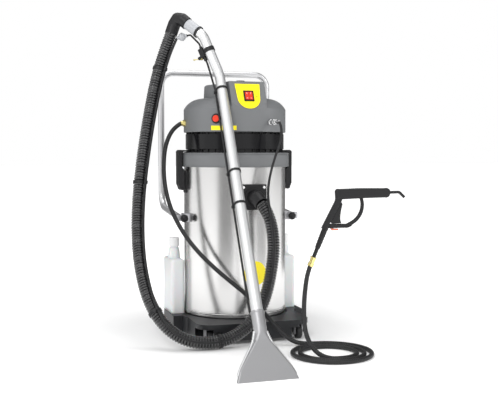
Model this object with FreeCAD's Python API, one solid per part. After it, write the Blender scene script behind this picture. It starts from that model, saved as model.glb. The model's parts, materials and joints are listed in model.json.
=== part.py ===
import FreeCAD, Part
import math
import os

# Three-in-one carpet cleaner: a stainless tank on a plastic base with castors, a motor head with its
# pump, a floor wand with a suction hose, a spray gun with its own hose, and a tilting push handle.
# Millimetres. Origin: the tank's axis at floor level. +Z up, front towards -Y, user's handle at +Y.

V = FreeCAD.Vector
X_AXIS = V(1, 0, 0)
Y_AXIS = V(0, 1, 0)
Z_AXIS = V(0, 0, 1)
SIDES = {"left": -1, "right": 1}

# ---------------------------------------------------------------- driving dimensions
TANK_R = 172.5            # stainless tank, outside
TANK_WALL = 1.2
TANK_BOTTOM = 58.0
TANK_TOP = 575.0
COLLAR_R = 184.0          # grey plastic collar round the tank's mouth
COLLAR_BOTTOM = 559.0
COLLAR_TOP = 606.0
RING_R = 166.7            # black motor ring on the collar
RING_BORE_R = 150.0
GROOVE_R = 160.0          # air grooves above and below the ring's band
RING_TOP = 674.0
HOOD_R = 172.8            # grey hood over the motor
HOOD_SHOULDER = 750.0
TURRET_R = 105.0
TURRET_FOOT = 786.0
TURRET_TOP = 832.0
HOOD_WALL = 3.0
CONSOLE_HALF = 60.0       # switch console at the front of the hood
CONSOLE_TOP = 838.0
FACE_LEAN = 24.2          # degrees that the console's face leans back
FACE_FOOT = 745.0
BASE_TOP = 66.0
SKIRT_Z = 12.0
WHEEL_R = 48.0            # rear wheels
WHEEL_X = 174.0
WHEEL_Y = 190.0
WHEEL_WIDTH = 30.0
REAR_HALF = 150.0         # half the width of the base between the rear wheels
AXLE_R = 6.0
AXLE_HALF = 198.0
TRAY_WALL = 8.0
CASTOR_R = 22.0           # swivel castors at the front
CASTOR_X = 150.0
CASTOR_Y = -200.0
CASTOR_TRAIL = -14.0      # the wheels stand ahead of their pins
CROWN_Z = 46.5
RUNNING_GAP = 0.05        # radial clearance of a pin in its hole
HANDLE_R = 11.0           # push handle tube
HANDLE_HALF = 200.0
HANDLE_Y = 250.0
HANDLE_TOP = 892.0
HANDLE_PIVOT = V(0, -16.0, 390.0)
WAND_R = 16.5             # floor wand tube
WAND_WALL = 1.5
WAND_FOOT = V(-115.8, -681.0, 0)
WAND_SHOULDER = V(-81.6, -99.5, 858.0)
WAND_NECK = V(-124.8, -56.0, 989.0)
WAND_END = V(-168.0, -16.0, 1031.0)
SUCTION_R = 20.0          # corrugated suction hose
SOLUTION_R = 4.0          # solution hose to the wand
GUN_HOSE_R = 7.0          # braided hose to the spray gun


# ---------------------------------------------------------------- helpers
def cylinder(radius, start, end):
    """Solid round bar between two points."""
    return Part.makeCylinder(radius, (end - start).Length, start, end - start)


def disc(radius, low, high, x=0.0, y=0.0):
    """Upright cylinder between two heights."""
    return Part.makeCylinder(radius, high - low, V(x, y, low))


def box(x_span, y_span, z_span):
    low = V(x_span[0], y_span[0], z_span[0])
    return Part.makeBox(x_span[1] - x_span[0], y_span[1] - y_span[0], z_span[1] - z_span[0], low)


def rounded(solid, radius, keep):
    """Fillets the edges whose direction and middle pass the test."""
    edges = []
    for edge in solid.Edges:
        middle = edge.valueAt((edge.FirstParameter + edge.LastParameter) / 2)
        along = edge.tangentAt((edge.FirstParameter + edge.LastParameter) / 2)
        if keep(middle, along):
            edges.append(edge)
    return solid.makeFillet(radius, edges)


def upright(middle, along):
    return abs(along.z) > 0.99


def anywhere(middle, along):
    return True


def soft_box(x_span, y_span, z_span, radius):
    return rounded(box(x_span, y_span, z_span), radius, anywhere)


def outline(points, lift):
    """Closed wire: a step of two numbers is a line to it, one of four an arc through the first pair."""
    edges = []
    here = lift(*points[0])
    for step in list(points[1:]) + [points[0]]:
        there = lift(*step[-2:])
        if len(step) == 4:
            edges.append(Part.Arc(here, lift(*step[:2]), there).toShape())
        elif (there - here).Length > 1e-6:
            edges.append(Part.makeLine(here, there))
        here = there
    return Part.Wire(edges)


def lathe(points, centre=V(0, 0, 0)):
    """Turned solid about an upright axis from an outline of (radius, height) steps."""
    wire = outline(points, lambda r, z: V(r, 0, z) + centre)
    return Part.Face(wire).revolve(centre, Z_AXIS, 360)


def plate(points, thickness):
    """Flat piece in the XY plane, centred on it, from an outline of (x, y) steps."""
    wire = outline(points, lambda x, y: V(x, y, -thickness / 2))
    return Part.Face(wire).extrude(V(0, 0, thickness))


def frame_at(origin, x_dir, y_dir):
    """Placement that takes local X and Y to the given directions."""
    z_dir = x_dir.cross(y_dir)
    turn = FreeCAD.Rotation(x_dir, y_dir, z_dir, "ZXY")
    return FreeCAD.Placement(origin, turn)


def placed(shape, placement):
    copy = shape.copy()
    copy.Placement = placement.multiply(copy.Placement)
    return copy


def mirrored(shape):
    """Copy on the other side of the machine's middle plane."""
    return shape.mirror(V(0, 0, 0), X_AXIS)


def fuse(shapes):
    whole = shapes[0]
    for shape in shapes[1:]:
        whole = whole.fuse(shape)
    return whole.removeSplitter()


def rounded_path(points, radii):
    """Straight runs joined by tangent arcs."""
    edges = []
    here = points[0]
    for before, corner, after, radius in zip(points, points[1:], points[2:], radii):
        into = (corner - before).normalize()
        out = (after - corner).normalize()
        turn = into.getAngle(out)
        setback = radius * math.tan(turn / 2)
        start = corner - into * setback
        end = corner + out * setback
        bisector = (out - into).normalize()
        middle = corner + bisector * (radius / math.cos(turn / 2) - radius)
        edges.append(Part.LineSegment(here, start).toShape())
        edges.append(Part.Arc(start, middle, end).toShape())
        here = end
    edges.append(Part.LineSegment(here, points[-1]).toShape())
    return Part.Wire(edges)


def sweep(path, radius):
    """Round bar along a path."""
    first = path.Edges[0]
    start = first.valueAt(first.FirstParameter)
    direction = first.tangentAt(first.FirstParameter)
    section = Part.Wire(Part.makeCircle(radius, start, direction))
    return path.makePipeShell([section], True, False)


def bent_tube(points, radii, outer, inner):
    path = rounded_path(points, radii)
    return sweep(path, outer).cut(sweep(path, inner))


def cord_radii(points):
    """Each arc is as large as its two runs allow."""
    radii = []
    for before, corner, after in zip(points, points[1:], points[2:]):
        shorter = min((corner - before).Length, (after - corner).Length)
        half_turn = (corner - before).getAngle(after - corner) / 2
        radii.append(0.45 * shorter / math.tan(half_turn))
    return radii


def cord_tube(name, points, radius):
    """Tube of a hose's free stretch, which also prints its radii and its true volume's ratio."""
    radii = cord_radii(points)
    path = rounded_path(points, radii)
    tube = sweep(path, radius)
    ratio = tube.Volume / (math.pi * radius ** 2 * path.Length)
    least = min(radii) / (2 * radius)
    print(f"{name}: {path.Length:.0f} mm, tightest {least:.1f} diameters, volume ratio {ratio:.4f}")
    print("  radii", [round(r) for r in radii])
    return tube


# ---------------------------------------------------------------- base and wheels
def base_tray():
    """Moulded tray: a dish for the tank, wings for the two cans, a skirt with arches for the castors."""
    wings = [(-228, -50), (-228, 92), (-214, 136), (214, 136), (228, 92), (228, -50)]
    wing_wire = outline(wings, lambda x, y: V(x, y, SKIRT_Z))
    outer = fuse([
        disc(205, SKIRT_Z, BASE_TOP),
        Part.Face(wing_wire).extrude(V(0, 0, BASE_TOP - SKIRT_Z)),
        box((-REAR_HALF, REAR_HALF), (0, 222), (SKIRT_Z, BASE_TOP)),
        rounded(box((-188, 188), (-242, 0), (SKIRT_Z, BASE_TOP)), 48, lambda m, a: upright(m, a) and m.y < -100),
    ])
    dish = lathe([(0, TANK_BOTTOM), (TANK_R + 2, TANK_BOTTOM), (TANK_R + 2, 62), (TANK_R + 8, BASE_TOP + 1),
                  (0, BASE_TOP + 1)])
    under = box((-172, 172), (-190, 126), (SKIRT_Z - 1, 46)).common(disc(205 - TRAY_WALL, SKIRT_Z - 1, 46))
    rear_inside = REAR_HALF - TRAY_WALL
    under = under.fuse(box((-rear_inside, rear_inside), (100, 212), (SKIRT_Z - 1, 46)))
    tray = outer.cut(dish).cut(under)
    for side in SIDES.values():
        seat = box(sorted((side * 172, side * 225)), (-8, 132), (TANK_BOTTOM - 2, BASE_TOP + 1))
        castor_well = disc(CASTOR_R - CASTOR_TRAIL + 6, SKIRT_Z - 1, CROWN_Z + 4, side * CASTOR_X, CASTOR_Y)
        arch = box(sorted((side * 118, side * 200)), (-260, CASTOR_Y + 20), (SKIRT_Z - 1, 42))
        tray = tray.cut(seat).cut(castor_well).cut(arch)
        pin_hole = disc(6 + RUNNING_GAP, CROWN_Z + 3, 62, side * CASTOR_X, CASTOR_Y)
        axle_block = box(sorted((side * 110, side * (REAR_HALF - 2))), (WHEEL_Y - 14, WHEEL_Y + 14), (34, 60))
        tray = tray.fuse(axle_block).cut(pin_hole)
    axle_hole = cylinder(AXLE_R, V(-AXLE_HALF, WHEEL_Y, WHEEL_R), V(AXLE_HALF, WHEEL_Y, WHEEL_R))
    return tray.cut(axle_hole).removeSplitter()


def rear_axle():
    return cylinder(AXLE_R, V(-AXLE_HALF, WHEEL_Y, WHEEL_R), V(AXLE_HALF, WHEEL_Y, WHEEL_R))


def wheel(radius, width, bore, centre, tread):
    """Wheel about X with a rounded tread and dished sides."""
    half = width / 2
    rim = radius * 0.72
    wire = outline([(bore, -half), (bore + 5, -half), (bore + 7, -half * 0.6), (rim - 4, -half * 0.6),
                    (rim, -half), (radius - tread, -half),
                    (radius - tread * 0.3, -half + tread * 0.3, radius, -half + tread),
                    (radius, half - tread), (radius - tread * 0.3, half - tread * 0.3, radius - tread, half),
                    (rim, half), (rim - 4, half * 0.6), (bore + 7, half * 0.6), (bore + 5, half), (bore, half)],
                   lambda r, x: V(x, 0, r))
    solid = Part.Face(wire).revolve(V(0, 0, 0), X_AXIS, 360)
    return solid.translated(centre)


def rear_wheel(side):
    return wheel(WHEEL_R, WHEEL_WIDTH, AXLE_R + RUNNING_GAP, V(side * WHEEL_X, WHEEL_Y, WHEEL_R), 6)


def castor_fork(side):
    """Swivel fork with its pin up into the tray and the wheel's own pin."""
    x = side * CASTOR_X
    hub_y = CASTOR_Y + CASTOR_TRAIL
    crown = disc(15, CROWN_Z, CROWN_Z + 3.5, x, CASTOR_Y)
    bridge = box((x - 14, x + 14), (hub_y - 7, CASTOR_Y + 7), (CROWN_Z, CROWN_Z + 3.5))
    pin = disc(6, CROWN_Z, 61, x, CASTOR_Y)
    cheeks = []
    for edge in (-1, 1):
        cheek = box(sorted((x + edge * 11, x + edge * 14)), (hub_y - 7, CASTOR_Y + 7), (CASTOR_R - 6, CROWN_Z + 1))
        cheeks.append(cheek)
    axle = cylinder(3, V(x - 15, hub_y, CASTOR_R), V(x + 15, hub_y, CASTOR_R))
    return fuse([crown, bridge, pin, axle] + cheeks)


def castor_wheel(side):
    centre = V(side * CASTOR_X, CASTOR_Y + CASTOR_TRAIL, CASTOR_R)
    return wheel(CASTOR_R, 18, 3 + RUNNING_GAP, centre, 4)


# ---------------------------------------------------------------- tank and collar
def tank_shell():
    """Open stainless drum with a rounded foot, a rolled bead and the inlet's hole."""
    bead = 2.5
    inner = TANK_R - TANK_WALL
    foot = TANK_BOTTOM + 12
    wire = [(0, TANK_BOTTOM), (TANK_R - 12, TANK_BOTTOM), (TANK_R - 3.5, TANK_BOTTOM + 3.5, TANK_R, foot),
            (TANK_R, 76), (TANK_R + bead, 76 + bead, TANK_R, 76 + 2 * bead), (TANK_R, TANK_TOP),
            (inner, TANK_TOP), (inner, foot), (TANK_R - 4.4, TANK_BOTTOM + 4.4, TANK_R - 12, TANK_BOTTOM + 1.2),
            (0, TANK_BOTTOM + 1.2)]
    hole = cylinder(INLET_R - 2, V(INLET_X, -TANK_R - 10, INLET_Z), V(INLET_X, -120, INLET_Z))
    return lathe(wire).cut(hole)


def tank_collar():
    """Grey ring over the drum's mouth, with a lip that the motor ring sits on."""
    return lathe([(TANK_R, COLLAR_BOTTOM), (COLLAR_R - 1, COLLAR_BOTTOM), (COLLAR_R, COLLAR_BOTTOM + 1),
                  (COLLAR_R, 598), (COLLAR_R - 3, COLLAR_TOP), (162, COLLAR_TOP), (162, 590), (TANK_R - 6, 580),
                  (TANK_R - 6, TANK_TOP), (TANK_R, TANK_TOP)])


LATCH_X = 187.0           # latch pivots, on both sides of the tank
LATCH_Z = 490.0
LATCH_HALF = 18.0
LATCH_PIN_R = 2.5


def latch_brackets():
    """Plates riveted to the drum, each with a lug and the latch's pin, and the chrome rivets."""
    solids = []
    for side in SIDES.values():
        plate_part = box(sorted((side * 165, side * 176.5)), (-15, 15), (472, 545)).cut(disc(TANK_R, 470, 550))
        lug = box(sorted((side * 174, side * (LATCH_X + 5))), (-5, 5), (LATCH_Z - 5, LATCH_Z + 5))
        lug = rounded(lug, 4.5, lambda m, a: abs(a.y) > 0.99 and abs(m.x) > 180)
        pin = cylinder(LATCH_PIN_R, V(side * LATCH_X, -17, LATCH_Z), V(side * LATCH_X, 17, LATCH_Z))
        rivets = [cylinder(3.5, V(side * 175, y, 536), V(side * 178, y, 536)) for y in (-9, 9)]
        solids.append(fuse([plate_part, lug.cut(disc(TANK_R, 470, 550)), pin] + rivets))
    return Part.Compound(solids)


def latch():
    """Right-hand latch: a block on the pivot, a lever past the collar and a hook over the ring's flange."""
    profile = [(178, LATCH_Z), (LATCH_X, LATCH_Z - 9, LATCH_X + 9, LATCH_Z), (201, 502), (201, 604),
               (199, 612.5, 190, 615), (163, 614.6), (163, 610.2), (182, 609.6), (187, 603), (187, 556),
               (180, 548), (180, 500)]
    wire = outline(profile, lambda x, z: V(x, -LATCH_HALF, z))
    block = Part.Face(wire).extrude(V(0, 2 * LATCH_HALF, 0))
    slot = box((170, 196), (-5.5, 5.5), (LATCH_Z - 12, LATCH_Z + 14))
    bore = cylinder(LATCH_PIN_R + RUNNING_GAP, V(LATCH_X, -20, LATCH_Z), V(LATCH_X, 20, LATCH_Z))
    rivet_space = box((176, 181), (-15, 15), (528, 549))
    return block.cut(slot).cut(bore).cut(rivet_space)


# ---------------------------------------------------------------- suction inlet
INLET_X = 6.0
INLET_Z = 463.0
INLET_R = 23.0
INLET_FACE_Y = -190.0     # front of the square plate


def inlet_plate():
    """Square black plate shaped to the drum, with the round port."""
    at = lambda y: V(INLET_X, y, INLET_Z)
    half = 44
    body = soft_box((INLET_X - half, INLET_X + half), (INLET_FACE_Y, -150), (INLET_Z - 41, INLET_Z + 41), 3)
    spigot = cylinder(INLET_R - 2, at(-180), at(-140))
    flange = cylinder(31, at(INLET_FACE_Y - 5), at(INLET_FACE_Y + 2))
    port = cylinder(INLET_R - 4, at(INLET_FACE_Y - 6), at(-130))
    cup = cylinder(INLET_R, at(INLET_FACE_Y - 6), at(INLET_FACE_Y + 8))
    shaped = body.cut(disc(TANK_R, INLET_Z - 50, INLET_Z + 50))
    return fuse([shaped, spigot, flange]).cut(cup).cut(port)


def inlet_screws():
    """Four pan-head screws in the plate's corners."""
    solids = []
    for x in (INLET_X - 35, INLET_X + 35):
        for z in (INLET_Z - 32, INLET_Z + 32):
            head = cylinder(5, V(x, INLET_FACE_Y, z), V(x, INLET_FACE_Y - 3, z))
            solids.append(rounded(head, 1.5, lambda m, a: m.y < INLET_FACE_Y - 2))
    return Part.Compound(solids)


def inlet_elbow():
    """Swivel elbow from the port down to the suction hose."""
    start = V(INLET_X, INLET_FACE_Y + 8, INLET_Z)
    turns = [V(8, -216, INLET_Z - 1), SUCTION_ROUTE[0]]
    bore = [start - Y_AXIS * 5, turns[0], turns[1] + (turns[1] - turns[0])]
    return jointed_bar([start] + turns, INLET_R).cut(jointed_bar(bore, INLET_R - 3))


# ---------------------------------------------------------------- motor head
def motor_ring():
    """Black band between two air grooves, on a flange that rests on the collar."""
    wire = [(RING_BORE_R, COLLAR_TOP), (172, COLLAR_TOP), (172, COLLAR_TOP + 3), (GROOVE_R, COLLAR_TOP + 3),
            (GROOVE_R, 617), (RING_R - 1, 617), (RING_R, 618), (RING_R, 667), (RING_R - 1, 668), (GROOVE_R, 668),
            (GROOVE_R, RING_TOP), (RING_BORE_R, RING_TOP)]
    ring = lathe(wire)
    ribs = []
    for index in range(24):
        turn = math.radians(index * 15 + 5)
        for low, high in ((617, 614.9), (668, RING_TOP)):
            if low == 617 and abs(math.cos(turn)) > 0.93:
                continue
            centre = V((GROOVE_R + 1.5) * math.cos(turn), (GROOVE_R + 1.5) * math.sin(turn), min(low, high))
            ribs.append(Part.makeCylinder(2.5, abs(high - low), centre))
    return fuse([ring] + ribs)


FACE_UP = V(0, math.sin(math.radians(FACE_LEAN)), math.cos(math.radians(FACE_LEAN)))
FACE_OUT = X_AXIS.cross(FACE_UP)
FACE_AT = frame_at(V(0, -HOOD_R, FACE_FOOT), X_AXIS, FACE_UP)
ROCKER_UP = 47.0          # rockers' centre above the face's foot, along the face
BUTTON_TURN = -37.0       # degrees from the front, negative to the left
BUTTON_Z = 716.0
COUPLING_TURN = 24.0
COUPLING_Z = 705.0
FITTING_Z = 704.0


def around(turn):
    """Outward horizontal direction at an angle from the machine's front."""
    return V(math.sin(math.radians(turn)), -math.cos(math.radians(turn)), 0)


def hood():
    """Domed grey shell with a turret, and the switch console at its front."""
    wall = HOOD_WALL
    outer = lathe([(0, RING_TOP), (HOOD_R - 1, RING_TOP), (HOOD_R, RING_TOP + 1), (HOOD_R, HOOD_SHOULDER),
                   (150, 775.5, TURRET_R, TURRET_FOOT), (TURRET_R - 2, TURRET_TOP - 6),
                   (TURRET_R - 4, TURRET_TOP - 2, TURRET_R - 8, TURRET_TOP), (0, TURRET_TOP)])
    inner = lathe([(0, RING_TOP - 1), (HOOD_R - wall, RING_TOP - 1), (HOOD_R - wall, HOOD_SHOULDER - 1),
                   (148.5, 772, TURRET_R - wall, TURRET_FOOT - wall), (TURRET_R - wall - 2, TURRET_TOP - wall),
                   (0, TURRET_TOP - wall)])
    block = box((-CONSOLE_HALF, CONSOLE_HALF), (-180, -20), (700, CONSOLE_TOP))
    block = rounded(block, 9, lambda m, a: upright(m, a) and m.y > -100)
    cutter = placed(box((-100, 100), (-200, 150), (0, 100)), FACE_AT)
    console = block.common(disc(HOOD_R, 690, 850)).cut(cutter)
    console = rounded(console, 3, lambda m, a: m.z > CONSOLE_TOP - 1)
    hollow = box((-CONSOLE_HALF + wall, CONSOLE_HALF - wall), (-180, -30), (680, CONSOLE_TOP - wall))
    hollow = hollow.common(disc(HOOD_R - wall, 670, 850))
    hollow = hollow.cut(placed(box((-100, 100), (-200, 150), (-wall, 100)), FACE_AT))
    front = placed(box((-CONSOLE_HALF, CONSOLE_HALF), (-200, 150), (0, 100)), FACE_AT)
    front_inner = placed(box((-CONSOLE_HALF, CONSOLE_HALF), (-200, 150), (-wall, 100)), FACE_AT)
    shell = outer.fuse(console).cut(front).cut(inner.cut(front_inner)).cut(hollow)
    switch_hole = placed(box((-15, 15), (ROCKER_UP - 17, ROCKER_UP + 17), (-10, 10)), FACE_AT)
    seats = [(BUTTON_TURN, BUTTON_Z, 13, 16, 1.2), (-90, FITTING_Z, 6, 12.8, 0.2),
             (COUPLING_TURN, COUPLING_Z, 5, 9, 1), (180, CORD_Z, 8, 13, 0.8)]
    whole = shell.cut(switch_hole)
    for turn, height, hole, face, depth in seats:
        out, centre = around(turn), V(0, 0, height)
        whole = whole.cut(cylinder(hole, out * (HOOD_R - 25) + centre, out * (HOOD_R + 8) + centre))
        whole = whole.cut(cylinder(face, out * (HOOD_R - depth) + centre, out * (HOOD_R + 8) + centre))
    return whole.removeSplitter()


def switch_panel():
    """Shield-shaped plate on the console's leaning face, with the switch's opening."""
    shield = plate([(-42, 91), (42, 91), (38, 36), (0, 3, -38, 36)], 2).translated(V(0, 0, 1))
    opening = box((-14, 14), (ROCKER_UP - 16, ROCKER_UP + 16), (-1, 3))
    return placed(shield.cut(opening), FACE_AT)


def switch_frame():
    """Black frame of the double switch, with the pocket that both rockers tilt in."""
    flange = soft_box((-17, 17), (ROCKER_UP - 19, ROCKER_UP + 19), (2, 5), 1)
    body = box((-14, 14), (ROCKER_UP - 16, ROCKER_UP + 16), (-22, 3))
    pocket = box((-12.6, 12.6), (ROCKER_UP - 14.6, ROCKER_UP + 14.6), (-6, 6))
    pin = cylinder(1.2, V(-13.5, ROCKER_UP, 0.5), V(13.5, ROCKER_UP, 0.5))
    return placed(flange.fuse(body).cut(pocket).fuse(pin).removeSplitter(), FACE_AT)


def rocker(side):
    """One rocker key, hollow over its pin, about the face's X direction."""
    outer = [(-13.4, 4.6), (-6, 4.2, 0, 3.8), (6, 4.2, 13.4, 4.6), (13.4, 1), (5, -3.2), (-5, -3.2), (-13.4, 1)]
    low, high = sorted((side * 0.3, side * 12.2))
    wire = outline(outer, lambda y, z: V(low, y + ROCKER_UP, z + 1.2))
    key = Part.Face(wire).extrude(V(high - low, 0, 0))
    bore = cylinder(1.2 + RUNNING_GAP, V(-14, ROCKER_UP, 0.5), V(14, ROCKER_UP, 0.5))
    return placed(key.cut(bore), FACE_AT)


def button_bezel():
    out = around(BUTTON_TURN)
    centre = V(0, 0, BUTTON_Z)
    flange = cylinder(16, out * (HOOD_R - 1.2) + centre, out * (HOOD_R + 3.5) + centre)
    flange = rounded(flange, 1.5, lambda m, a: (m - centre).dot(out) > HOOD_R + 3)
    sleeve = cylinder(13, out * (HOOD_R - 22) + centre, out * HOOD_R + centre)
    bore = cylinder(11.3, out * (HOOD_R - 19) + centre, out * (HOOD_R + 5) + centre)
    return flange.fuse(sleeve).cut(bore).removeSplitter()


def pump_button():
    out = around(BUTTON_TURN)
    centre = V(0, 0, BUTTON_Z)
    cap = cylinder(11, out * (HOOD_R - 15) + centre, out * (HOOD_R + 7.5) + centre)
    return rounded(cap, 2, lambda m, a: (m - centre).dot(out) > HOOD_R + 7)


def vacuum_motor():
    """Two-stage bypass motor on its round mounting plate, hung in the ring."""
    body = lathe([(0, 640), (72, 640), (72, 700), (62, 704), (62, 760), (50, 772), (0, 772)])
    plate_part = disc(RING_BORE_R, 634, 640)
    throat = disc(24, 620, 634)
    return fuse([body, plate_part, throat])


def solution_pump():
    """Small diaphragm pump beside the motor."""
    body = cylinder(26, V(104, -30, 690), V(104, 50, 690))
    foot = box((84, 124), (-20, 40), (640, 672))
    return fuse([body, foot])


FLOAT_R = 26.0


def float_cage():
    """Basket under the motor plate that guides the shut-off float."""
    top = lathe([(30, 616), (60, 616), (60, 620), (30, 620)])
    floor = lathe([(10, 545), (33, 545), (33, 548), (10, 548)])
    bars = []
    for index in range(8):
        turn = math.radians(index * 45)
        bars.append(disc(2.5, 546, 618, 31 * math.cos(turn), 31 * math.sin(turn)))
    return fuse([top, floor, disc(60, 619.5, 620).cut(disc(24, 619, 621))] + bars)


def float_ball():
    return Part.makeSphere(FLOAT_R, V(0, 0, 575))


def quick_coupling():
    """Chrome coupling for the wand's solution hose, standing out of the hood."""
    out = around(COUPLING_TURN)
    at = lambda reach: out * (HOOD_R + reach) + V(0, 0, COUPLING_Z)
    stem = cylinder(5, at(-12), at(8))
    nut = cylinder(9, at(-1), at(7))
    sleeve = cylinder(7.5, at(7), at(30))
    collar = cylinder(9, at(14), at(24))
    barb = cylinder(5.5, at(30), at(46))
    return fuse([stem, nut, sleeve, collar, barb])


def gun_hose_fitting():
    """Brass hexagon and ferrule where the gun's hose leaves the hood."""
    corners = [V(-173, 11 * math.sin(math.radians(60 * i)), FITTING_Z + 11 * math.cos(math.radians(60 * i)))
               for i in range(7)]
    nut = Part.Face(Part.makePolygon(corners)).extrude(V(-8, 0, 0))
    stem = cylinder(6, V(-158, 0, FITTING_Z), V(-174, 0, FITTING_Z))
    ferrule = cylinder(8, V(-181, 0, FITTING_Z), GUN_HOSE_START)
    return fuse([nut, stem, ferrule])


CORD_Z = 700.0


def power_cord_gland():
    """Threaded gland at the back of the hood, with an open bore for the mains lead."""
    nut = cylinder(13, V(0, 172, CORD_Z), V(0, 182, CORD_Z))
    cone = Part.makeCone(11, 8, 14, V(0, 182, CORD_Z), Y_AXIS)
    thread = cylinder(8, V(0, 160, CORD_Z), V(0, 174, CORD_Z))
    bore = cylinder(4.5, V(0, 150, CORD_Z), V(0, 200, CORD_Z))
    return fuse([nut, cone, thread]).cut(bore)


# ---------------------------------------------------------------- push handle
KNOB_AT = V(190, -53, 389)
KNOB_FLAT = 9.5


def push_handle():
    """Bent steel tube: two arms along the tank, two legs and the top bar, with eyes on the pivots."""
    low = HANDLE_PIVOT.z + 24
    side = HANDLE_HALF
    points = [V(-side, HANDLE_PIVOT.y - 8, HANDLE_PIVOT.z), V(-side, HANDLE_Y, low),
              V(-side, HANDLE_Y, HANDLE_TOP), V(side, HANDLE_Y, HANDLE_TOP),
              V(side, HANDLE_Y, low), V(side, HANDLE_PIVOT.y - 8, HANDLE_PIVOT.z)]
    tube = bent_tube(points, [60, 45, 45, 60], HANDLE_R, HANDLE_R - 1.5)
    eyes = cylinder(4 + RUNNING_GAP, HANDLE_PIVOT - X_AXIS * 230, HANDLE_PIVOT + X_AXIS * 230)
    return tube.cut(eyes)


def handle_brackets():
    """Black forks on the tank that carry the handle's pivot pins and the knobs' bosses."""
    solids = []
    y, z = HANDLE_PIVOT.y, HANDLE_PIVOT.z
    inner = HANDLE_HALF - HANDLE_R - 0.6
    outer = HANDLE_HALF + HANDLE_R + 0.6
    for side in SIDES.values():
        root = box(sorted((side * 160, side * inner)), (y - 22, y + 14), (z - 14, z + 14))
        cheek = box(sorted((side * outer, side * (outer + 4))), (y - 22, y + 10), (z - 10, z + 10))
        front = box(sorted((side * 176, side * (outer + 4))), (y - 22, y - 18), (z - 10, z + 10))
        pin = cylinder(4, V(side * (inner - 1), y, z), V(side * (outer + 1), y, z))
        boss = cylinder(6, V(side * KNOB_AT.x, y - 20, z), V(side * KNOB_AT.x, y - 25, z))
        solids.append(fuse([root.cut(disc(TANK_R, z - 20, z + 20)), cheek, front, pin, boss]))
    return Part.Compound(solids)


def handle_knob():
    """Right-hand ball knob with its neck, turning about its own screw."""
    ball = Part.makeSphere(13, KNOB_AT).cut(box((150, 230), (KNOB_AT.y + KNOB_FLAT, 0), (370, 410)))
    neck = cylinder(5, KNOB_AT, V(KNOB_AT.x, HANDLE_PIVOT.y - 25.1, KNOB_AT.z))
    return ball.fuse(neck).removeSplitter()


# ---------------------------------------------------------------- chemical cans
CAN_X = (176.0, 222.0)
CAN_Y = (-2.0, 128.0)
CAN_TOP = 247.0
CAN_NECK = V(199, 62, CAN_TOP)


def can():
    """Right-hand blow-moulded can, filled, with sloping shoulders and a threaded neck."""
    body = box(CAN_X, CAN_Y, (TANK_BOTTOM - 1.5, CAN_TOP))
    body = rounded(body, 12, upright)
    body = rounded(body, 8, lambda m, a: m.z > CAN_TOP - 1 or m.z < TANK_BOTTOM)
    shoulder = lathe([(0, CAN_TOP - 8), (21, CAN_TOP - 8), (20, CAN_TOP + 12, 17, CAN_TOP + 34), (0, CAN_TOP + 34)],
                     V(CAN_NECK.x, CAN_NECK.y, 0))
    neck = disc(14, CAN_TOP + 30, CAN_TOP + 60, CAN_NECK.x, CAN_NECK.y)
    return fuse([body, shoulder, neck])


def can_cap():
    """Right-hand screw cap with a ribbed skirt."""
    low, high = CAN_TOP + 40, CAN_TOP + 70
    skirt = disc(18, low, high, CAN_NECK.x, CAN_NECK.y)
    skirt = rounded(skirt, 2, lambda m, a: m.z > high - 1)
    hole = disc(14.3, low - 1, CAN_TOP + 60.4, CAN_NECK.x, CAN_NECK.y)
    cap = skirt.cut(hole)
    for index in range(18):
        turn = math.radians(20 * index)
        cap = cap.cut(disc(1.2, low - 1, high - 3, CAN_NECK.x + 18.4 * math.cos(turn),
                           CAN_NECK.y + 18.4 * math.sin(turn)))
    return cap


# ---------------------------------------------------------------- floor wand
WAND_UP = (WAND_SHOULDER - WAND_FOOT).normalize()
WAND_WIDE = (X_AXIS - WAND_UP * WAND_UP.x).normalize()
WAND_AT = frame_at(WAND_FOOT, WAND_WIDE, WAND_UP.cross(WAND_WIDE))
WAND_OUT = (WAND_END - WAND_NECK).normalize()
NOZZLE_TOP = 199.0


def wand_tube():
    start = WAND_FOOT + WAND_UP * (NOZZLE_TOP - 30)
    return bent_tube([start, WAND_SHOULDER, WAND_NECK, WAND_END], [90, 60], WAND_R, WAND_R - WAND_WALL)


def section(reach, width, depth, corner):
    """Rounded rectangle across the wand at a distance above the floor along it."""
    x, y = width / 2, depth / 2
    c = corner * (1 - math.sqrt(0.5))
    points = [(-x + corner, -y), (x - corner, -y), (x - c, -y + c, x, -y + corner), (x, y - corner),
              (x - c, y - c, x - corner, y), (-x + corner, y), (-x + c, y - c, -x, y - corner),
              (-x, -y + corner), (-x + c, -y + c, -x + corner, -y)]
    edges = outline(points[:-1], lambda a, b: V(a, b, reach)).Edges[:-1]
    last = Part.Arc(V(-x, -y + corner, reach), V(-x + c, -y + c, reach), V(-x + corner, -y, reach)).toShape()
    return Part.Wire(edges + [last])


def nozzle_form(inset):
    """Loft of the floor tool, which flares from a round neck to a wide flat mouth."""
    neck = 2 * (WAND_R + 2.2 - inset)
    sizes = [(-14, 184, 15, 5), (30, 152, 17, 5), (112, 46, 24, 9), (132, 34.2, 30, 14), (150, neck, neck, neck / 2 - 0.1)]
    wires = []
    for reach, width, depth, corner in sizes:
        less = 2 * inset if reach < 150 else 0
        wires.append(section(reach, width - less, depth - less, corner - inset * 0.5))
    return Part.makeLoft(wires, True, True)


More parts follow.
